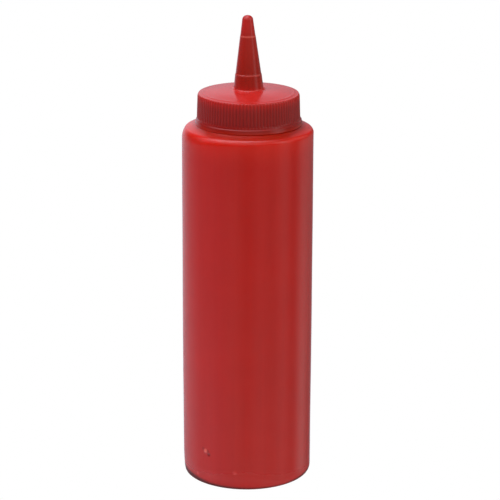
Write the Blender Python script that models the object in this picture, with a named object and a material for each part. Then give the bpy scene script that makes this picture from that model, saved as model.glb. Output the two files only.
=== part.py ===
"""Red squeeze bottle for ketchup, with its screw cap.

Two mouldings: the filled, shut bottle and the cap, whose pointed dispensing
nozzle, dome, ribbed skirt and foot flange are one piece.  Metres, +Z up,
origin at the centre of the standing ring; the bottle's axis is Z.  The
dispensing nozzle leans slightly towards -X, as the soft moulding has set.
"""

import math

import bmesh
import bpy
from mathutils import Vector

MM = 0.001

# ----------------------------------------------------------------- bottle
BODY_WALL = ((6.0 * MM, 36.62 * MM), (30.0 * MM, 36.64 * MM),   # height, radius:
             (60.0 * MM, 36.78 * MM), (100.0 * MM, 36.78 * MM),  # a faint swell in
             (150.0 * MM, 36.72 * MM))                          # the soft wall
BODY_TOP_RADIUS = 36.66 * MM      # wall under the shoulder
FOOT_CORNER_R = 1.75 * MM         # round from the wall into the standing ring,
FOOT_CORNER_Z = 6.00 * MM         # taller than it is wide
STANDING_RING_INNER = 28.00 * MM  # inner edge of the flat the bottle stands on
PUSH_UP = 1.60 * MM               # hollow under the foot
SHOULDER_CORNER_R = 2.70 * MM     # shoulder corner, radial extent
SHOULDER_CORNER_Z = 3.60 * MM     # shoulder corner, vertical extent
SHOULDER_SLOPE = math.radians(22.0)
SEAT_RADIUS = 29.52 * MM          # flat top that the cap comes down on
SEAT_Z = 205.55 * MM

# -------------------------------------------------------------------- cap
GAP = 0.30 * MM                   # clearance between the two mouldings
CAP_SHIFT_X = 0.39 * MM           # the screwed-down cap sits a little off axis
CAP_FOOT_Z = SEAT_Z + GAP
FLANGE_RADIUS = 29.82 * MM
FLANGE_BEAD = 0.55 * MM           # rounding of the flange's outer edge
FLANGE_HEIGHT = 2.70 * MM
SKIRT_RADIUS_LOW = 28.69 * MM     # over the ribs, at the flange
SKIRT_RADIUS_TOP = 28.30 * MM     # over the ribs, under the rim
RIB_COUNT = 96
RIB_DEPTH = 0.36 * MM
RIM_Z = 222.56 * MM
RIM_ROUND = 0.80 * MM
DOME_RISE = 2.18 * MM             # the top rises from the rim to the nozzle

# ----------------------------------------------------------------- nozzle
NOZZLE_LEAN = math.radians(0.92)
NOZZLE_FILLET = 1.35 * MM
NOZZLE_BASE_R = 8.16 * MM
STEP_1_Z = 233.38 * MM            # lower ledge
STEP_1_R_BELOW = 7.34 * MM
STEP_1_R_ABOVE = 7.08 * MM
STEP_2_Z = 254.61 * MM            # upper ledge
STEP_2_R_BELOW = 4.32 * MM
STEP_2_R_ABOVE = 4.14 * MM
TIP_Z = 263.20 * MM               # where the cone turns into the rounded tip
TIP_R = 3.06 * MM
HEIGHT = 265.95 * MM              # overall

BODY_SEGMENTS = 84
SKIRT_SEGMENTS = 2 * RIB_COUNT
NOZZLE_SEGMENTS = SKIRT_SEGMENTS // 4


def clear_scene():
    for ob in list(bpy.data.objects):
        bpy.data.objects.remove(ob, do_unlink=True)


def make_material(name, colour, roughness, metallic=0.0):
    mat = bpy.data.materials.new(name)
    mat.use_nodes = True
    bsdf = next(n for n in mat.node_tree.nodes if n.type == 'BSDF_PRINCIPLED')
    bsdf.inputs['Base Color'].default_value = (*colour, 1.0)
    bsdf.inputs['Roughness'].default_value = roughness
    bsdf.inputs['Metallic'].default_value = metallic
    mat.diffuse_color = (*colour, 1.0)
    return mat


def arc(centre_r, centre_z, rad_r, rad_z, a0, a1, steps):
    """Points (r, z) of an elliptical arc, angles from +r towards +z."""
    return [(centre_r + rad_r * math.cos(a0 + (a1 - a0) * k / steps),
             centre_z + rad_z * math.sin(a0 + (a1 - a0) * k / steps))
            for k in range(steps + 1)]


def finish(bm, name, material, sharp_deg=38.0):
    """Mesh object from a bmesh: outward normals, smooth with sharp edges."""
    bmesh.ops.recalc_face_normals(bm, faces=bm.faces)
    mesh = bpy.data.meshes.new(name)
    bm.to_mesh(mesh)
    bm.free()
    mesh.materials.append(material)
    mesh.shade_smooth()
    mesh.set_sharp_from_angle(angle=math.radians(sharp_deg))
    ob = bpy.data.objects.new(name, mesh)
    bpy.context.scene.collection.objects.link(ob)
    return ob


# ------------------------------------------------------------------ bottle
def bottle_profile():
    """Half section of the filled bottle, from the axis below to the axis above."""
    pts = []
    # push-up: a shallow dome whose edge drops into the standing ring
    edge = STANDING_RING_INNER
    for k in range(5):
        t = k / 4
        pts.append((edge * t * 0.94, PUSH_UP * (1.0 - 0.45 * t * t)))
    pts.append((edge, 0.0))
    # standing ring, then the foot's round up to the wall
    pts += arc(BODY_WALL[0][1] - FOOT_CORNER_R, FOOT_CORNER_Z, FOOT_CORNER_R, FOOT_CORNER_Z,
               -math.pi / 2, 0.0, 6)
    pts += [(r, z) for z, r in BODY_WALL[1:]]
    # shoulder corner: from upright to the shoulder's slope
    turn = math.atan2(SHOULDER_CORNER_Z,
                      SHOULDER_CORNER_R * math.tan(SHOULDER_SLOPE))
    corner_r = BODY_TOP_RADIUS - SHOULDER_CORNER_R
    slope_r = corner_r + SHOULDER_CORNER_R * math.cos(turn)
    slope_z = SEAT_Z - (slope_r - SEAT_RADIUS) * math.tan(SHOULDER_SLOPE)
    pts += arc(corner_r, slope_z - SHOULDER_CORNER_Z * math.sin(turn),
               SHOULDER_CORNER_R, SHOULDER_CORNER_Z, 0.0, turn, 5)
    # sloping shoulder up to the flat seat
    r_end, z_end = pts[-1]
    mid = 0.5
    pts.append((r_end + (SEAT_RADIUS - r_end) * mid, z_end + (SEAT_Z - z_end) * mid))
    pts.append((SEAT_RADIUS, SEAT_Z))
    pts.append((0.0, SEAT_Z))
    return pts


def make_bottle(material):
    bm = bmesh.new()
    verts = [bm.verts.new((r, 0.0, z)) for r, z in bottle_profile()]
    edges = [bm.edges.new((a, b)) for a, b in zip(verts, verts[1:])]
    bmesh.ops.spin(bm, geom=verts + edges, cent=(0, 0, 0), axis=(0, 0, 1),
                   dvec=(0, 0, 0), angle=2.0 * math.pi, steps=BODY_SEGMENTS,
                   use_merge=True, use_duplicate=False)
    bmesh.ops.remove_doubles(bm, verts=bm.verts, dist=1e-6)
    return finish(bm, 'bottle_body', material)


# --------------------------------------------------------------------- cap
def ring(bm, radius, z, count, centre_x=0.0, flute=0.0):
    """Ring of vertices; with flute, every second one is drawn in."""
    out = []
    for i in range(count):
        a = 2.0 * math.pi * i / count
        r = radius - (flute if i % 2 else 0.0)
        out.append(bm.verts.new((centre_x + r * math.cos(a), r * math.sin(a), z)))
    return out


def bridge(bm, low, high):
    """Faces between two rings; the upper one may have half as many vertices."""
    n, m = len(low), len(high)
    if n == m:
        for i in range(n):
            j = (i + 1) % n
            bm.faces.new((low[i], low[j], high[j], high[i]))
        return
    for i in range(m):
        a, b, c = low[2 * i], low[(2 * i + 1) % n], low[(2 * i + 2) % n]
        p, q = high[i], high[(i + 1) % m]
        bm.faces.new((a, b, p))
        bm.faces.new((b, c, q, p))


def lean_x(z):
    """How far the nozzle's axis has moved at height z."""
    base = RIM_Z + DOME_RISE
    return CAP_SHIFT_X - max(z - base, 0.0) * math.tan(NOZZLE_LEAN)


def make_cap(material):
    bm = bmesh.new()
    rings = []
    n = SKIRT_SEGMENTS
    cx = CAP_SHIFT_X

    # foot flange: flat underside, rounded outer edge, flare up to the ribs
    under = ring(bm, FLANGE_RADIUS - FLANGE_BEAD, CAP_FOOT_Z, n, cx)
    rings.append(under)
    for k in (1, 2):
        a = -math.pi / 2 + (math.pi / 2) * k / 2
        rings.append(ring(bm, FLANGE_RADIUS - FLANGE_BEAD + FLANGE_BEAD * math.cos(a),
                          CAP_FOOT_Z + FLANGE_BEAD * (1.0 + math.sin(a)), n, cx))
    rings.append(ring(bm, FLANGE_RADIUS - 0.1 * MM, CAP_FOOT_Z + 0.5 * FLANGE_HEIGHT, n, cx))
    rings.append(ring(bm, SKIRT_RADIUS_LOW - 0.5 * RIB_DEPTH,
                      CAP_FOOT_Z + FLANGE_HEIGHT, n, cx))

    # ribbed skirt
    z_low = CAP_FOOT_Z + FLANGE_HEIGHT + 0.25 * MM
    z_top = RIM_Z - RIM_ROUND - 0.35 * MM
    rings.append(ring(bm, SKIRT_RADIUS_LOW, z_low, n, cx, RIB_DEPTH))
    rings.append(ring(bm, SKIRT_RADIUS_TOP, z_top, n, cx, RIB_DEPTH))

    # rounded rim
    r_edge = SKIRT_RADIUS_TOP - RIM_ROUND
    for k in range(4):
        a = (math.pi / 2) * k / 3
        rings.append(ring(bm, r_edge + (RIM_ROUND - 0.1 * MM) * math.cos(a),
                          RIM_Z - RIM_ROUND + RIM_ROUND * math.sin(a), n, cx))

    # domed top, with fewer vertices towards the nozzle
    r_foot = NOZZLE_BASE_R + NOZZLE_FILLET
    z_base = RIM_Z + DOME_RISE
    for k, count in ((1, n), (2, n // 2), (3, n // 2), (4, n // 4)):
        t = k / 4
        rings.append(ring(bm, r_edge + (r_foot - r_edge) * t,
                          RIM_Z + DOME_RISE * math.sin(t * math.pi / 2), count, cx))

    # nozzle: concave foot, three cone frusta parted by two ledges, round tip
    m = NOZZLE_SEGMENTS
    outline = []
    for k in (1, 2, 3):
        a = (math.pi / 2) * k / 3
        outline.append((NOZZLE_BASE_R + NOZZLE_FILLET * (1.0 - math.sin(a)),
                        z_base + NOZZLE_FILLET * (1.0 - math.cos(a))))
    ledge = 0.12 * MM
    outline.append((STEP_1_R_BELOW, STEP_1_Z))
    outline.append((STEP_1_R_ABOVE, STEP_1_Z + ledge))
    outline.append((STEP_2_R_BELOW, STEP_2_Z))
    outline.append((STEP_2_R_ABOVE, STEP_2_Z + ledge))
    for k in range(4):
        a = (math.pi / 2) * k / 4
        outline.append((TIP_R * math.cos(a), TIP_Z + (HEIGHT - TIP_Z) * math.sin(a)))
    for r, z in outline:
        rings.append(ring(bm, r, z, m, lean_x(z)))

    for low, high in zip(rings, rings[1:]):
        bridge(bm, low, high)

    # close the tip and the flat underside with fans
    tip = bm.verts.new((lean_x(HEIGHT), 0.0, HEIGHT))
    last = rings[-1]
    for i in range(m):
        bm.faces.new((last[i], last[(i + 1) % m], tip))
    hub = bm.verts.new((cx, 0.0, CAP_FOOT_Z))
    for i in range(n):
        bm.faces.new((under[(i + 1) % n], under[i], hub))
    return finish(bm, 'nozzle_cap', material, 30.0)


def main():
    clear_scene()
    make_bottle(make_material('red_bottle_plastic', (0.42, 0.022, 0.018), 0.38))
    make_cap(make_material('red_cap_plastic', (0.38, 0.018, 0.014), 0.30))


main()
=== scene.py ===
import math

import bpy
import numpy as np
from mathutils import Matrix, Vector


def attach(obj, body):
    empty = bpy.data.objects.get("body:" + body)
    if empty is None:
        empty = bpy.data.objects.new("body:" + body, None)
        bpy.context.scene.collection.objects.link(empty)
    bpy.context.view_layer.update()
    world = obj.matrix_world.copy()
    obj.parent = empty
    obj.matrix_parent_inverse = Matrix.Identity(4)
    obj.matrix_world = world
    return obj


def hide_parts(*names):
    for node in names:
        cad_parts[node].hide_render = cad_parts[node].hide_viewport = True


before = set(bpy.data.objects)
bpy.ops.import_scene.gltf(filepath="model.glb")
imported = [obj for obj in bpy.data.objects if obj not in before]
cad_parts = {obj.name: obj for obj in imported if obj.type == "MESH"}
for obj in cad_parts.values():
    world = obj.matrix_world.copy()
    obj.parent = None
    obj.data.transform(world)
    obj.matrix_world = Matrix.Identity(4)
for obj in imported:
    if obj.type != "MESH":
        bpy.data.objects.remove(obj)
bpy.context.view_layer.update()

MM = 0.001

# --------------------------------------------------------------------------
# named sizes, in millimetres, the same as the CAD solids'
# --------------------------------------------------------------------------
BODY_WALL = ((0.0, 36.62), (30.0, 36.64), (60.0, 36.78), (100.0, 36.78), (150.0, 36.72), (200.4, 36.66))
STAND_RING_IN = 28.0
PUSH_UP = 1.60
SHOULDER_SLOPE = (25.7, 23.6, 16.9) # degrees, at +X, at -X and at the front
SEAT_R = 29.52
SEAT_Z = 205.55

CAP_X = 0.39
CAP_Z0 = SEAT_Z + 0.10
FLANGE_R = 29.82                    # at its foot
BEAD_R = 29.36                      # bead along the flange's top
BEAD_Z = 207.68
BEAD = 0.34
FLANGE_OFF = 0.14                   # flange's centre, towards +X of the skirt's
SKIRT_R0 = 28.69
SKIRT_R1 = 28.30
RIBS = 96
RIB_DEPTH = 0.36
RIM_Z = 222.56
RIM_EDGE = 0.30                     # small rounding of its upper edge
RIM_DROP = 1.60                     # height over which the skirt turns in under it
RIM_TURN = 34.0                     # and by how many degrees
DOME_RISE = 2.18

LEAN = math.radians(0.92)
FILLET = 1.35                       # hollow fillet round the nozzle's foot
FILLET_FRONT = 0.10                 # how much farther it runs out at the front
FILLET_RIGHT = 0.40                 # how much farther it runs out at +X
NOZZLE_BASE_R = 8.16
STEP_1 = (233.38, 7.34, 7.08)      # height, radius below, radius above
STEP_2 = (254.61, 4.32, 4.14)
TIP_Z = 263.20
TIP_R = 3.06
TOP_Z = 265.95

FOOT_R = (1.75, 0.92)               # foot corner, radial, at +X and at -X
FOOT_Z = (2.90, 11.6)               # its height
FOOT_EXP = (2.30, 1.72)             # and its fullness
FOOT_FRONT = 0.40                   # how much larger it is at the front and back

# small marks on the wall: azimuth (deg from +X), height, radius, rise (pits are negative)
SPECKS = (
    (-129.9, 20.6, 1.00, 0.42),
    (-126.0, 18.9, 0.62, -0.30),
    (-100.8, 10.5, 0.85, 0.16),
    (-96.0, 10.2, 0.80, -0.07),
    (-140.1, 4.9, 0.60, 0.16),
    (-55.5, 59.9, 0.55, -0.10),
    (-55.6, 58.9, 0.50, 0.05),
)


# base colour by height (mm): the wall's own red, with painted shade at the foot and painted light and shade round
# the shoulder
BODY_COLOURS_AND_PAINTED_LIGHT = (
    (0.0, (0.110, 0.0040, 0.0030)),         # edge it stands on: painted contact shade
    (0.8, (0.130, 0.0045, 0.0032)),
    (1.5, (0.420, 0.0100, 0.0060)),
    (2.4, (0.575, 0.0122, 0.0068)),
    (4.0, (0.590, 0.0125, 0.0068)),
    (188.0, (0.590, 0.0122, 0.0062)),       # wall
    # from here up to 202.4: painted light below the shoulder, rising to a painted highlight on its corner
    (192.0, (0.612, 0.0132, 0.0062)),
    (196.0, (0.665, 0.0150, 0.0062)),
    (198.5, (0.700, 0.0158, 0.0060)),       # shoulder corner: painted highlight
    (200.5, (0.725, 0.0168, 0.0060)),
    (202.4, (0.770, 0.0180, 0.0060)),
    (203.3, (0.660, 0.0165, 0.0055)),       # shoulder: painted shade towards the cap, less dark again at the seat
    (203.9, (0.510, 0.0150, 0.0045)),
    (204.5, (0.425, 0.0145, 0.0035)),
    (205.0, (0.400, 0.0140, 0.0030)),
    (205.3, (0.450, 0.0150, 0.0035)),
    (206.0, (0.600, 0.0160, 0.0040)),
)
# base colour of the cap by height (mm): one plastic, so its changes with height are painted light and shade
CAP_COLOURS_AND_PAINTED_LIGHT = (
    (205.6, (0.620, 0.0200, 0.0050)),       # flange: painted light at its foot, against the shade between flange and shoulder
    (206.3, (0.490, 0.0150, 0.0040)),
    (207.2, (0.375, 0.0110, 0.0040)),
    (208.3, (0.370, 0.0100, 0.0060)),
    (210.0, (0.380, 0.0098, 0.0058)),       # ribbed skirt, painted darker than the top
    (213.0, (0.366, 0.0096, 0.0056)),
    (216.7, (0.357, 0.0096, 0.0056)),
    (218.6, (0.400, 0.0102, 0.0062)),
    (219.6, (0.455, 0.0112, 0.0068)),
    (220.8, (0.550, 0.0128, 0.0078)),
    (222.0, (0.580, 0.0150, 0.0095)),       # rim: painted light, brighter towards the top
    (222.7, (0.610, 0.0190, 0.0120)),
    (224.0, (0.640, 0.0210, 0.0150)),       # domed top, painted lighter than the skirt
    (224.9, (0.650, 0.0220, 0.0150)),
    # painted highlight on the fillet round the nozzle's foot
    (225.3, (0.730, 0.0320, 0.0200)),
    (225.9, (0.600, 0.0210, 0.0120)),
    (226.9, (0.520, 0.0190, 0.0095)),       # nozzle: painted shade near its foot, lighter upwards
    (228.6, (0.470, 0.0190, 0.0085)),
    (232.8, (0.455, 0.0195, 0.0085)),
    (233.0, (0.590, 0.0480, 0.0320)),       # lower step: painted highlight on its bevel, then painted shade in the corner above it
    (233.6, (0.590, 0.0480, 0.0320)),
    (233.85, (0.405, 0.0180, 0.0080)),
    (234.9, (0.435, 0.0185, 0.0085)),
    (245.0, (0.462, 0.0205, 0.0110)),
    (253.9, (0.475, 0.0220, 0.0140)),
    (254.1, (0.700, 0.0820, 0.0560)),       # upper step: painted highlight on its bevel
    (254.8, (0.700, 0.0820, 0.0560)),
    (255.0, (0.500, 0.0220, 0.0150)),
    (257.5, (0.550, 0.0240, 0.0180)),
    (262.0, (0.590, 0.0250, 0.0190)),       # tip: painted glow
    (266.0, (0.590, 0.0250, 0.0190)),
)

BODY_TILT = 0.016                   # those heights rise this much per mm towards -X,
BODY_FLANK = (21.0, 0.12)           # and this much per mm beyond so far to either side
FOOT_SCUFF = (1.0, 13.5, 0.58, 0.18)    # the foot is rougher between these heights, by so much,
                                        # lower by this much per mm to either side

# painted shade in the cap's grooves: where it starts and where it ends (heights), how
# much darker the bottom of a groove is painted, and how much rougher the ribbed band is
GROOVES = ((208.9, 209.8), (221.8, 222.5), 0.24, 0.08)

# painted highlights and shade round small bumps on the wall: azimuth, height, radius, colour
PAINTED_BUMP_SPOTS = (
    (-132.4, 21.6, 1.60, (0.460, 0.0090, 0.0060)),
    (-127.2, 20.9, 1.30, (0.430, 0.0070, 0.0050)),
    (-126.2, 19.0, 1.75, (0.330, 0.0060, 0.0040)),
    (-129.9, 20.9, 1.75, (0.860, 0.1800, 0.1400)),
    (-100.8, 10.5, 1.65, (0.740, 0.0560, 0.0450)),
    (-140.1, 5.0, 1.40, (0.760, 0.0700, 0.0600)),
)

# soft patches of studio light: azimuth (0 is behind the bottle, 90 at its +X
# side), elevation, strength; each fades out over about 16 degrees
SOFTBOX_TIGHT = 25.0
SOFTBOXES = (
    (0, 90, 3.06), (0, 65, 1.39), (135, 65, 0.69), (225, 65, 1.04), (270, 65, 2.49),
    (180, 45, 0.65), (210, 45, 0.33), (240, 45, 1.45), (270, 45, 0.95), (0, 25, 0.56),
    (67.5, 25, 0.76), (112.5, 25, 2.02), (157.5, 25, 0.67), (180, 25, 0.27),
    (202.5, 25, 0.39), (270, 25, 0.74), (337.5, 25, 0.38), (0, 8, 0.20), (340, 8, 0.41),
    (40, -9, 0.24), (320, -9, 0.32), (340, -9, 0.42), (0, -26, 0.85), (67.5, -26, 0.83),
    (112.5, -26, 0.37), (135, -26, 0.21), (157.5, -26, 0.45), (202.5, -26, 0.46),
    (225, -26, 0.35), (247.5, -26, 0.38), (270, -26, 0.36), (292.5, -26, 0.57),
    (315, -26, 0.31), (108, -48, 1.76), (144, -48, 0.82), (180, -48, 2.11),
    (216, -48, 0.40), (252, -48, 1.77),
)
STRIP_TIGHT = 45.0                  # narrower strip of light, at the right
STRIP = ((113, -3, 0.60),)
COOL = (1.05, 0.95, 1.09)           # tint of the patches above, behind and on the left
COOL_FROM, COOL_TO = 215.0, 345.0   # azimuths of the latter


# --------------------------------------------------------------------------
# helpers
# --------------------------------------------------------------------------
def link(obj):
    bpy.context.scene.collection.objects.link(obj)
    return obj


def mesh_object(name, verts, faces, sharp_deg=None):
    me = bpy.data.meshes.new(name)
    me.from_pydata([tuple(v) for v in verts], [], faces)
    me.validate(clean_customdata=False)
    me.shade_smooth()
    if sharp_deg is not None:
        me.set_sharp_from_angle(angle=math.radians(sharp_deg))
    me.update()
    return link(bpy.data.objects.new(name, me))


def arc(cr, cz, rr, rz, a0, a1, n, first=True):
    """(r, z) points of an elliptical arc; angles in degrees from +r to +z."""
    ks = range(0 if first else 1, n + 1)
    return [(cr + rr * math.cos(math.radians(a0 + (a1 - a0) * k / n)),
             cz + rz * math.sin(math.radians(a0 + (a1 - a0) * k / n))) for k in ks]


def line(p, q, n, first=False):
    ks = range(0 if first else 1, n + 1)
    return [(p[0] + (q[0] - p[0]) * k / n, p[1] + (q[1] - p[1]) * k / n) for k in ks]


class Builder:
    """Collects rings of vertices and joins each with the next."""

    def __init__(self):
        self.v = []
        self.f = []
        self.prev = None

    def ring(self, pts):
        start = len(self.v)
        self.v.extend(pts)
        cur = list(range(start, start + len(pts)))
        if self.prev is not None:
            self.join(self.prev, cur)
        self.prev = cur
        return cur

    def join(self, a, b):
        n, m = len(a), len(b)
        if n == m:
            for i in range(n):
                j = (i + 1) % n
                self.f.append((a[i], a[j], b[j], b[i]))
        elif n == 2 * m:
            for i in range(m):
                p, q, r = a[2 * i], a[2 * i + 1], a[(2 * i + 2) % n]
                self.f.append((p, q, b[i]))
                self.f.append((q, r, b[(i + 1) % m], b[i]))
        else:
            raise ValueError("rings of %d and %d vertices" % (n, m))

    def fan(self, ring, apex, flip=False):
        k = len(self.v)
        self.v.append(apex)
        n = len(ring)
        for i in range(n):
            j = (i + 1) % n
            self.f.append((ring[j], ring[i], k) if flip else (ring[i], ring[j], k))


# --------------------------------------------------------------------------
# bottle body
# --------------------------------------------------------------------------
def wall_r(z):
    """Radius of the bottle's wall at a height."""
    return float(np.interp(z, [p[0] for p in BODY_WALL], [p[1] for p in BODY_WALL]))


def body_columns():
    """Azimuths of the body's columns, closer together where there is a mark or
    the mould's parting line."""
    fine = ((-143.0, -123.0, 0.30), (-104.0, -92.5, 0.35), (-57.5, -53.5, 0.30),
            (-1.0, 1.0, 0.25), (179.0, 181.0, 0.25))
    cols = [1.5 * k for k in range(-119, 121)]
    for lo, hi, step in fine:
        cols = [c for c in cols if not (lo - 0.2 < c < hi + 0.2)
                and not (lo - 0.2 < c + 360.0 < hi + 0.2)]
        cols += [lo + step * k for k in range(int(round((hi - lo) / step)) + 1)]
    return np.radians(np.array(sorted(c if c <= 180.0 else c - 360.0 for c in cols)))


def wall_steps():
    """Fractions of the wall's height, closer together where there is a mark."""
    out = []
    for lo, hi, n in ((0.0, 0.066, 38), (0.066, 0.272, 16), (0.272, 0.292, 13), (0.292, 1.0, 50)):
        out += [lo + (hi - lo) * k / n for k in range(1, n + 1)]
    return out


def body_section(az):
    """Section of the bottle at an azimuth.  side is 0 at +X and 1 at -X: the
    foot's and the shoulder's corners are rounder on the one side and longer
    and more drawn in on the other."""
    side = 0.5 - 0.5 * math.cos(az)
    pts = []
    # push-up under the foot, with a rounded drop into the standing ring
    e = STAND_RING_IN
    for k in range(0, 11):
        t = k / 10
        pts.append((max(e * 0.95 * t, 0.0), PUSH_UP * (1.0 - 0.42 * t * t)))
    pts += line(pts[-1], (e, 0.06), 3)
    pts += line(pts[-1], (e + 0.6, 0.0), 1)
    # foot corner
    more = FOOT_FRONT * math.sin(az) ** 2
    rb = FOOT_R[0] + (FOOT_R[1] - FOOT_R[0]) * side + more
    rz = FOOT_Z[0] + (FOOT_Z[1] - FOOT_Z[0]) * side + more
    ex = FOOT_EXP[0] + (FOOT_EXP[1] - FOOT_EXP[0]) * side
    r_in = wall_r(rz) - rb
    pts += line(pts[-1], (min(r_in, 35.0) - 0.6, 0.0), 3)
    for k in range(0, 41):
        a = (math.pi / 2) * k / 40
        pts.append((r_in + rb * math.sin(a) ** (2 / ex),
                    rz * (1 - max(math.cos(a), 0.0) ** (2 / ex))))
    # shoulder corner: an elliptical arc that runs into the sloping shoulder
    flank = SHOULDER_SLOPE[0] + (SHOULDER_SLOPE[1] - SHOULDER_SLOPE[0]) * side
    slope = math.radians(flank + (SHOULDER_SLOPE[2] - flank) * max(-math.sin(az), 0.0) ** 1.3)
    far = side ** 3
    rr, rv = 2.4 + 0.8 * far, 2.5 + 4.3 * far
    turn = math.atan2(rv, rr * math.tan(slope))
    r_c = wall_r(200.0) - rr
    r_t = r_c + rr * math.cos(turn)
    z_c = SEAT_Z - (r_t - SEAT_R) * math.tan(slope) - rv * math.sin(turn)
    for t in wall_steps():
        z = rz + (z_c - rz) * t
        pts.append((wall_r(min(z, 200.0)) if z < 190 else r_c + rr, z))
    pts += arc(r_c, z_c, rr, rv, 0.0, math.degrees(turn), 20, first=False)
    # shoulder, very slightly hollow, then the seat under the cap
    r0, z0 = pts[-1]
    for k in range(1, 13):
        t = k / 12
        pts.append((r0 + (SEAT_R - r0) * t,
                    z0 + (SEAT_Z - z0) * t - 0.06 * math.sin(math.pi * t)))
    pts += line(pts[-1], (20.0, SEAT_Z), 2)
    return pts


def make_body():
    az = body_columns()
    grid = np.array([body_section(a) for a in az])          # column, ring, (r, z)
    b = Builder()
    rings = []
    turn = np.degrees(az)
    for i in range(grid.shape[1]):
        r, z = grid[:, i, 0].copy(), grid[:, i, 1]
        if r.mean() > 30.0:
            # faint unevenness of a blown, soft wall
            zz = z / 200.0
            wave = (0.035 * np.sin(2 * az + 1.3 + 2.1 * zz)
                    + 0.025 * np.sin(3 * az + 0.4 - 3.7 * zz)
                    + 0.018 * np.sin(5 * az + 2.2 + 9.0 * zz)
                    + 0.020 * np.sin(17.0 * zz + 1.1 * np.sin(az + 0.7)))
            fade = np.clip((z - 1.0) / 12.0, 0, 1) * np.clip((SEAT_Z - z) / 6.0, 0, 1)
            r += (wave - 0.05) * fade
            # parting line of the mould's two halves
            off = np.abs((turn + 90.0) % 180.0 - 90.0) * math.pi / 180 * 36.7
            r += 0.05 * np.exp(-(off / 0.22) ** 2) * np.clip(z / 3.0, 0, 1)
            for a0, z0, size, rise in SPECKS:
                d2 = (((turn - a0 + 180.0) % 360.0 - 180.0) * math.pi / 180 * 36.7) ** 2 + (z - z0) ** 2
                r += rise * np.exp(-d2 / size ** 2 * 1.3)
        if i == 0:
            first_z = z[0]
            continue
        pts = np.stack([r * np.cos(az), r * np.sin(az), z], 1) * MM
        rings.append(b.ring([tuple(p) for p in pts]))
    b.fan(rings[0], (0.0, 0.0, first_z * MM), flip=True)
    b.fan(rings[-1], (0.0, 0.0, SEAT_Z * MM))
    return mesh_object("bottle_wall", b.v, b.f, 40.0)


# --------------------------------------------------------------------------
# cap with its nozzle: one moulding
# --------------------------------------------------------------------------
def rib_shape(az):
    """0 in the groove, 1 on the rib: rounded ribs with narrower grooves."""
    c = 0.5 + 0.5 * np.cos(RIBS * az)
    return c ** 0.75


def lean_x(z):
    return CAP_X - max(z - (RIM_Z + DOME_RISE), 0.0) * math.tan(LEAN)


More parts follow.
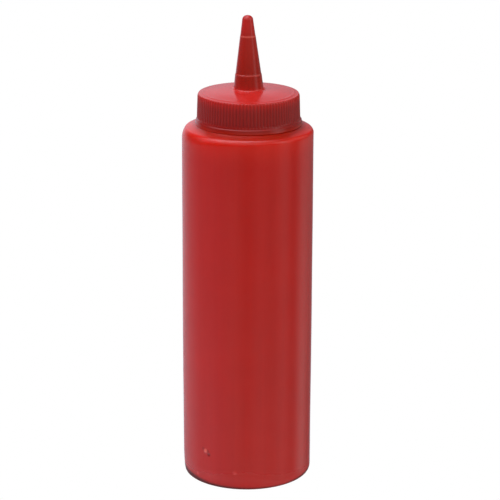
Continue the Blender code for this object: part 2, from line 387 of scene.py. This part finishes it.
def make_cap():
    b = Builder()
    n = RIBS * 8
    az = np.arange(n) * 2 * math.pi / n
    rib = rib_shape(az)

    def ring(r, z, count=n, depth=0.0, cx=None):
        a = az if count == n else np.arange(count) * 2 * math.pi / count
        rr = np.full(count, float(r))
        if depth:
            rr = rr - depth * (1.0 - rib)
        x0 = CAP_X if cx is None else cx
        return b.ring([((x0 + q * math.cos(t)) * MM, q * math.sin(t) * MM, z * MM)
                       for q, t in zip(rr, a)])

    # underside, flange with its hollowed top edge and bead
    low = 0.10
    under = ring(FLANGE_R - low - 2.0, CAP_Z0)
    off = CAP_X + FLANGE_OFF
    for r, z in arc(FLANGE_R - low, CAP_Z0 + low, low, low, -90, 0, 3):
        ring(r, z, cx=off)
    for k in range(1, 5):
        t = k / 5
        ring(FLANGE_R + (BEAD_R - FLANGE_R) * t, CAP_Z0 + low + (BEAD_Z - CAP_Z0 - low) * t, cx=off)
    for r, z in arc(BEAD_R - BEAD, BEAD_Z, BEAD, BEAD, 8, 88, 6):
        ring(r, z, cx=off)
    z_top = BEAD_Z + BEAD
    for k in range(1, 6):
        a = (math.pi / 2) * k / 5
        ring(BEAD_R - BEAD - (BEAD_R - BEAD - SKIRT_R0 - 0.02) * math.sin(a),
             z_top + 0.90 * (1 - math.cos(a)), depth=RIB_DEPTH * 0.12 * k / 5)
    z_fl = z_top + 0.90
    # ribs: they run out at the flange and under the rim
    turn = math.radians(RIM_TURN)
    bow = RIM_DROP / math.sin(turn)
    z_lo = z_fl + 0.10
    z_hi = RIM_Z - RIM_EDGE * (1 - math.sin(turn)) - RIM_DROP
    span = z_hi - z_lo
    steps = 14
    for k in range(0, steps + 1):
        t = k / steps
        z = z_lo + span * t
        r = SKIRT_R0 + (SKIRT_R1 - SKIRT_R0) * t
        run_out = min(1.0, t * 9.0 + 0.25)
        ring(r, z, depth=RIB_DEPTH * run_out)
    # the skirt turns in under the rim, and the ribs run out on it
    for k in range(1, 9):
        a = turn * k / 8
        ring(SKIRT_R1 - bow * (1 - math.cos(a)), z_hi + bow * math.sin(a),
             depth=RIB_DEPTH * (1 - (k / 8) ** 2 * 0.9))
    r_edge = SKIRT_R1 - bow * (1 - math.cos(turn)) - RIM_EDGE * math.cos(turn)
    for k in range(1, 6):
        a = turn + (math.pi / 2 - turn) * k / 5
        ring(r_edge + RIM_EDGE * math.cos(a), RIM_Z - RIM_EDGE + RIM_EDGE * math.sin(a),
             depth=RIB_DEPTH * 0.1 * (1 - k / 5))
    # rim land, a fine raised ring, then the dome
    r_foot = NOZZLE_BASE_R + FILLET + FILLET_FRONT
    count = n
    span_r = r_edge - r_foot

    def dome_z(r):
        t = (r_edge - r) / span_r
        return RIM_Z + DOME_RISE * math.sin(min(max(t, 0.0), 1.0) * math.pi / 2)

    for q, dz in ((0.6, 0.0), (1.2, 0.0), (1.7, 0.01), (2.0, 0.07), (2.2, 0.10)):
        ring(r_edge - q, dome_z(r_edge - q) + dz, count)
    count //= 2
    for q, dz in ((2.45, 0.10), (2.7, 0.07), (3.0, 0.015), (3.4, 0.0), (4.2, 0.0), (5.4, 0.0), (6.8, 0.0)):
        ring(r_edge - q, dome_z(r_edge - q) + dz, count)
    count //= 2
    rr = r_edge - 6.8
    for k in range(1, 12):
        r = rr + (r_foot + 0.6 - rr) * k / 11
        ring(r, dome_z(r), count)
    z_base = RIM_Z + DOME_RISE
    # concave fillet at the nozzle's foot, running out farther at +X
    cosa = np.cos(np.arange(count) * 2 * math.pi / count)
    sina = np.sin(np.arange(count) * 2 * math.pi / count)
    for k in range(0, 13):
        a = (math.pi / 2) * k / 12
        ext = FILLET + FILLET_RIGHT * np.clip(cosa, 0, 1) ** 2 + FILLET_FRONT * np.clip(-sina, 0, 1) ** 2
        rise = FILLET - 0.42 * np.clip(-sina, 0, 1) ** 2
        rad = NOZZLE_BASE_R + ext * (1 - math.sin(a))
        z = z_base + rise * (1 - math.cos(a))
        x0 = lean_x(z_base)
        b.ring([((x0 + q * c) * MM, q * t * MM, h * MM) for q, c, t, h in zip(rad, cosa, sina, z)])
    zf = z_base + FILLET

    def cone(p, q, steps):
        for k in range(1, steps + 1):
            t = k / steps
            r, z = p[0] + (q[0] - p[0]) * t, p[1] + (q[1] - p[1]) * t
            ring(r, z, count, cx=lean_x(z))

    def ledge(z, r_below, r_above):
        """A bevelled step, with a fine concave corner at its top."""
        d = r_below - r_above
        for u, v in ((0.0, -0.20), (0.06, -0.13), (0.30, 0.0), (0.62, 0.13), (0.86, 0.20), (1.0, 0.27)):
            ring(r_below - d * u, z + v, count, cx=lean_x(z))

    cone((NOZZLE_BASE_R, zf), (STEP_1[1], STEP_1[0] - 0.26), 8)
    ledge(*STEP_1)
    cone((STEP_1[2], STEP_1[0] + 0.27), (STEP_2[1], STEP_2[0] - 0.26), 22)
    ledge(*STEP_2)
    cone((STEP_2[2], STEP_2[0] + 0.27), (TIP_R, TIP_Z), 12)
    last = None
    for k in range(1, 15):
        a = (math.pi / 2) * k / 15
        z = TIP_Z + (TOP_Z - TIP_Z) * math.sin(a)
        last = ring(TIP_R * math.cos(a) ** 0.85, z, count, cx=lean_x(z))
    b.fan(last, (lean_x(TOP_Z) * MM, 0.0, TOP_Z * MM))
    b.fan(under, (CAP_X * MM, 0.0, CAP_Z0 * MM), flip=True)
    return mesh_object("cap_and_nozzle", b.v, b.f, 50.0)


# --------------------------------------------------------------------------
# materials
# --------------------------------------------------------------------------
class Nodes:
    def __init__(self, tree):
        self.t = tree

    def add(self, kind, **kw):
        n = self.t.nodes.new(kind)
        for k, v in kw.items():
            setattr(n, k, v)
        return n

    def put(self, node, socket, value):
        node.inputs[socket].default_value = value

    def link(self, a, b):
        self.t.links.new(a, b)

    def math(self, op, a, b=None, clamp=False):
        n = self.add('ShaderNodeMath', operation=op, use_clamp=clamp)
        for i, x in enumerate((a, b)):
            if x is None:
                continue
            if isinstance(x, (int, float)):
                n.inputs[i].default_value = x
            else:
                self.link(x, n.inputs[i])
        return n.outputs[0]


def plastic(name, stops, rough_lo, rough_hi, peel_scale, peel_mm, streak_mm, mottle_scale, uneven, soft,
            tilt=0.0, flank=(0.0, 0.0), scuff=None, spots=(), grooves=None):
    """Pigmented plastic: its colour by height, mottled, with uneven gloss, fine
    peel and draw lines; the colour stops carry painted light and shade as well as the plastic's own red.
    stops: (height in mm, colour), the heights rising by tilt per mm towards
    -X, and by flank to either side.  scuff: a rougher foot.  spots: painted
    highlights and shade round small bumps.  grooves: painted shade in the grooves between the ribs, and a rougher
    ribbed band."""
    mat = bpy.data.materials.new(name)
    mat.use_nodes = True
    k = Nodes(mat.node_tree)
    bsdf = next(n for n in mat.node_tree.nodes if n.type == 'BSDF_PRINCIPLED')
    k.put(bsdf, 'Metallic', 0.0)
    k.put(bsdf, 'IOR', 1.5)
    k.put(bsdf, 'Specular IOR Level', 0.5)
    k.put(bsdf, 'Subsurface Weight', soft)
    k.put(bsdf, 'Subsurface Radius', (1.0, 0.12, 0.08))
    k.put(bsdf, 'Subsurface Scale', 3.0 * MM)
    co = k.add('ShaderNodeTexCoord').outputs['Object']

    mott = k.add('ShaderNodeTexNoise', noise_dimensions='3D')
    k.put(mott, 'Scale', mottle_scale)
    k.put(mott, 'Detail', 4.0)
    k.put(mott, 'Roughness', 0.55)
    k.link(co, mott.inputs['Vector'])

    # draw lines along the height: noise stretched in z
    mp = k.add('ShaderNodeMapping')
    mp.inputs['Scale'].default_value = (420.0, 420.0, 9.0)
    k.link(co, mp.inputs['Vector'])
    streak = k.add('ShaderNodeTexNoise', noise_dimensions='3D')
    k.put(streak, 'Scale', 1.0)
    k.put(streak, 'Detail', 2.0)
    k.link(mp.outputs['Vector'], streak.inputs['Vector'])

    both = k.math('ADD', k.math('MULTIPLY', mott.outputs['Fac'], 0.7),
                  k.math('MULTIPLY', streak.outputs['Fac'], 0.3))
    tone = k.add('ShaderNodeMapRange')
    k.put(tone, 'From Min', 0.35)
    k.put(tone, 'From Max', 0.65)
    k.put(tone, 'To Min', 1.0 - uneven)
    k.put(tone, 'To Max', 1.0 + uneven)
    k.link(both, tone.inputs['Value'])

    along = k.add('ShaderNodeVectorMath', operation='DOT_PRODUCT')
    k.link(co, along.inputs[0])
    along.inputs[1].default_value = (tilt, 0.0, 1.0)
    sep = k.add('ShaderNodeSeparateXYZ')
    k.link(co, sep.inputs[0])
    aside = k.math('ABSOLUTE', sep.outputs['X'])
    height_at = along.outputs['Value']
    if flank[1]:
        beyond = k.math('MAXIMUM', k.math('SUBTRACT', aside, flank[0] * MM), 0.0)
        height_at = k.math('SUBTRACT', height_at, k.math('MULTIPLY', beyond, flank[1]))
    low, high = stops[0][0], stops[-1][0]
    place = k.add('ShaderNodeMapRange')
    k.put(place, 'From Min', low * MM)
    k.put(place, 'From Max', high * MM)
    k.link(height_at, place.inputs['Value'])
    ramp = k.add('ShaderNodeValToRGB')
    els = ramp.color_ramp.elements
    for i, (z, colour) in enumerate(stops):
        at = (z - low) / (high - low)
        if i == 0:
            e = els[0]
            e.position = 0.0
        elif i == len(stops) - 1:
            e = els[-1]
            e.position = 1.0
        else:
            e = els.new(at)
        e.color = (*colour, 1)
    k.link(place.outputs['Result'], ramp.inputs['Fac'])
    strength = tone.outputs['Result']
    if grooves:
        # painted shade at the bottom of the grooves between the ribs: how far a point lies inside
        # the ribs' outer surface, which bows in under the rim
        off_x = k.math('SUBTRACT', sep.outputs['X'], CAP_X * MM)
        radius = k.math('SQRT', k.math('ADD', k.math('MULTIPLY', off_x, off_x),
                                       k.math('MULTIPLY', sep.outputs['Y'], sep.outputs['Y'])))
        bow = RIM_DROP / math.sin(math.radians(RIM_TURN)) * MM
        z_hi = RIM_Z - RIM_EDGE * (1 - math.sin(math.radians(RIM_TURN))) - RIM_DROP
        outer = k.add('ShaderNodeMapRange')
        k.put(outer, 'From Min', 209.0 * MM)
        k.put(outer, 'From Max', z_hi * MM)
        k.put(outer, 'To Min', SKIRT_R0 * MM)
        k.put(outer, 'To Max', SKIRT_R1 * MM)
        k.link(sep.outputs['Z'], outer.inputs['Value'])
        up = k.math('MAXIMUM', k.math('SUBTRACT', sep.outputs['Z'], z_hi * MM), 0.0)
        inward = k.math('SUBTRACT', bow, k.math('SQRT', k.math('SUBTRACT', bow * bow, k.math('MULTIPLY', up, up))))
        deep = k.math('DIVIDE', k.math('SUBTRACT', k.math('SUBTRACT', outer.outputs['Result'], inward), radius),
                      RIB_DEPTH * MM, clamp=True)
        zone = None
        for a, b in grooves[:2]:
            part = k.add('ShaderNodeMapRange', interpolation_type='SMOOTHSTEP')
            k.put(part, 'From Min', a * MM)
            k.put(part, 'From Max', b * MM)
            k.link(sep.outputs['Z'], part.inputs['Value'])
            v = part.outputs['Result']
            zone = v if zone is None else k.math('SUBTRACT', zone, v)
        groove_shade = k.math('MULTIPLY', k.math('MULTIPLY', deep, zone), grooves[2])
        strength = k.math('MULTIPLY', strength, k.math('SUBTRACT', 1.0, groove_shade))
    scale = k.add('ShaderNodeVectorMath', operation='SCALE')
    k.link(ramp.outputs['Color'], scale.inputs[0])
    k.link(strength, scale.inputs['Scale'])
    colour = scale.outputs[0]
    for turn, z, size, tint in spots:
        a = math.radians(turn)
        near = k.add('ShaderNodeVectorMath', operation='DISTANCE')
        k.link(co, near.inputs[0])
        near.inputs[1].default_value = (wall_r(z) * math.cos(a) * MM, wall_r(z) * math.sin(a) * MM, z * MM)
        edge = k.add('ShaderNodeMapRange', interpolation_type='SMOOTHSTEP')
        k.put(edge, 'From Min', size * 0.25 * MM)
        k.put(edge, 'From Max', size * MM)
        k.put(edge, 'To Min', 1.0)
        k.put(edge, 'To Max', 0.0)
        k.link(near.outputs['Value'], edge.inputs['Value'])
        blend = k.add('ShaderNodeMix', data_type='RGBA')
        k.link(edge.outputs['Result'], blend.inputs[0])
        k.link(colour, blend.inputs[6])
        blend.inputs[7].default_value = (*tint, 1)
        colour = blend.outputs[2]
    k.link(colour, bsdf.inputs['Base Color'])

    rn = k.add('ShaderNodeTexNoise', noise_dimensions='3D')
    k.put(rn, 'Scale', mottle_scale * 5.0)
    k.put(rn, 'Detail', 3.0)
    k.link(co, rn.inputs['Vector'])
    rmap = k.add('ShaderNodeMapRange')
    k.put(rmap, 'From Min', 0.3)
    k.put(rmap, 'From Max', 0.7)
    k.put(rmap, 'To Min', rough_lo)
    k.put(rmap, 'To Max', rough_hi)
    k.link(rn.outputs['Fac'], rmap.inputs['Value'])
    rough = rmap.outputs['Result']
    if scuff:
        low_part = k.add('ShaderNodeMapRange', interpolation_type='SMOOTHSTEP')
        k.put(low_part, 'From Min', scuff[0] * MM)
        k.put(low_part, 'From Max', scuff[1] * MM)
        k.put(low_part, 'To Min', scuff[2])
        k.put(low_part, 'To Max', 0.0)
        k.link(k.math('ADD', sep.outputs['Z'], k.math('MULTIPLY', aside, scuff[3])), low_part.inputs['Value'])
        rough = k.math('ADD', rough, low_part.outputs['Result'], clamp=True)
    if grooves:
        rough = k.math('ADD', rough, k.math('MULTIPLY', zone, grooves[3]), clamp=True)
    k.link(rough, bsdf.inputs['Roughness'])

    peel = k.add('ShaderNodeTexNoise', noise_dimensions='3D')
    k.put(peel, 'Scale', peel_scale)
    k.put(peel, 'Detail', 2.0)
    k.link(co, peel.inputs['Vector'])
    height = k.math('ADD', k.math('MULTIPLY', peel.outputs['Fac'], peel_mm * MM),
                    k.math('MULTIPLY', streak.outputs['Fac'], streak_mm * MM))
    bump = k.add('ShaderNodeBump')
    k.put(bump, 'Strength', 1.0)
    k.put(bump, 'Distance', 1.0)
    k.link(height, bump.inputs['Height'])
    k.link(bump.outputs['Normal'], bsdf.inputs['Normal'])
    return mat


def floor_material():
    """Bright white table top, as bright as the backdrop behind it."""
    mat = bpy.data.materials.new("pale_floor")
    mat.use_nodes = True
    t = mat.node_tree
    t.nodes.clear()
    k = Nodes(t)
    glow = k.add('ShaderNodeEmission')
    k.put(glow, 'Color', (1, 1, 1, 1))
    k.put(glow, 'Strength', 1.0)
    k.link(glow.outputs[0], k.add('ShaderNodeOutputMaterial').inputs['Surface'])
    return mat


# --------------------------------------------------------------------------
# studio: world light by direction, pale floor, camera
# --------------------------------------------------------------------------
def soft_sum(k, terms):
    """Sum of soft light patches; each term is (exponent socket, strength)."""
    total = None
    for exponent, strength in terms:
        v = k.math('MULTIPLY', k.math('EXPONENT', exponent), strength)
        total = v if total is None else k.math('ADD', total, v)
    return total


def tinted(k, value, tint):
    """A colour: the value times the tint."""
    scale = k.add('ShaderNodeVectorMath', operation='SCALE')
    scale.inputs[0].default_value = tint
    k.link(value, scale.inputs['Scale'])
    return scale.outputs[0]


def toward(k, unit, azimuth, elevation):
    """Cosine between a direction and a lamp's; azimuth 0 is behind, 90 at +X."""
    a, e = math.radians(azimuth), math.radians(elevation)
    dot = k.add('ShaderNodeVectorMath', operation='DOT_PRODUCT')
    k.link(unit, dot.inputs[0])
    dot.inputs[1].default_value = (math.cos(e) * math.sin(a), math.cos(e) * math.cos(a), math.sin(e))
    return dot.outputs['Value']


def make_world():
    world = bpy.data.worlds.new("studio")
    bpy.context.scene.world = world
    world.use_nodes = True
    t = world.node_tree
    t.nodes.clear()
    k = Nodes(t)
    out = k.add('ShaderNodeOutputWorld')
    unit = k.add('ShaderNodeTexCoord').outputs['Generated']
    white_terms, cool_terms = [], []
    for patches, tight in ((SOFTBOXES, SOFTBOX_TIGHT), (STRIP, STRIP_TIGHT)):
        for azimuth, elevation, strength in patches:
            c = toward(k, unit, azimuth, elevation)
            cool = COOL_FROM <= azimuth <= COOL_TO or azimuth == 0
            (cool_terms if cool else white_terms).append(
                (k.math('MULTIPLY', k.math('SUBTRACT', c, 1.0), tight), strength))
    both = k.add('ShaderNodeVectorMath', operation='ADD')
    k.link(tinted(k, soft_sum(k, white_terms), (1, 1, 1)), both.inputs[0])
    k.link(tinted(k, soft_sum(k, cool_terms), COOL), both.inputs[1])
    studio = k.add('ShaderNodeBackground')
    k.link(both.outputs[0], studio.inputs['Color'])
    white = k.add('ShaderNodeBackground')
    k.put(white, 'Color', (1, 1, 1, 1))
    k.put(white, 'Strength', 1.0)
    path = k.add('ShaderNodeLightPath')
    pick = k.add('ShaderNodeMixShader')
    k.link(path.outputs['Is Camera Ray'], pick.inputs[0])
    k.link(studio.outputs[0], pick.inputs[1])
    k.link(white.outputs[0], pick.inputs[2])
    k.link(pick.outputs[0], out.inputs['Surface'])
    world.cycles.sampling_method = 'MANUAL'
    world.cycles.sample_map_resolution = 1024


def make_floor():
    s = 6.0
    me = bpy.data.meshes.new("floor")
    me.from_pydata([(-s, -s, 0), (s, -s, 0), (s, s, 0), (-s, s, 0)], [], [(0, 1, 2, 3)])
    me.materials.append(floor_material())
    floor = link(bpy.data.objects.new("floor", me))
    floor.location.z = -0.0002
    # white table without a shadow: its bounce light comes from the world's lower half
    floor.visible_glossy = False
    floor.visible_diffuse = False
    floor.visible_shadow = False
    return floor


def make_camera():
    dist, elev, aim_x, aim_z, roll, focal_px = 1164.7, 17.202, 1.44, 131.63, 0.181, 2059.9
    cam = bpy.data.cameras.new("camera")
    cam.sensor_fit = 'HORIZONTAL'
    cam.sensor_width = 36.0
    cam.lens = focal_px / 500.0 * 36.0
    cam.clip_start, cam.clip_end = 0.05, 100.0
    cam.dof.use_dof = False
    ob = link(bpy.data.objects.new("camera", cam))
    e = math.radians(elev)
    pos = Vector((aim_x, -dist * math.cos(e), aim_z + dist * math.sin(e))) * MM
    aim = Vector((aim_x, 0, aim_z)) * MM
    rot = (aim - pos).to_track_quat('-Z', 'Y').to_matrix()
    rot = rot @ Matrix.Rotation(math.radians(roll), 3, 'Z')
    ob.matrix_world = Matrix.Translation(pos) @ rot.to_4x4()
    bpy.context.scene.camera = ob
    return ob


# --------------------------------------------------------------------------
make_camera()
make_world()
make_floor()

body = make_body()
body.data.materials.append(plastic("red_bottle_plastic", BODY_COLOURS_AND_PAINTED_LIGHT, 0.20, 0.26,
                                   2600.0, 0.003, 0.003, 26.0, 0.05, 0.7,
                                   BODY_TILT, BODY_FLANK, FOOT_SCUFF, PAINTED_BUMP_SPOTS))
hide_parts("bottle_body")
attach(body, "root")

cap = make_cap()
cap.data.materials.append(plastic("red_cap_plastic", CAP_COLOURS_AND_PAINTED_LIGHT, 0.20, 0.26,
                                  3200.0, 0.002, 0.002, 40.0, 0.05, 0.0, grooves=GROOVES))
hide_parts("nozzle_cap")
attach(cap, "root")

scene = bpy.context.scene
scene.view_settings.view_transform = 'Standard'
scene.view_settings.look = 'None'
scene.view_settings.exposure = 0.0
scene.view_settings.gamma = 1.0
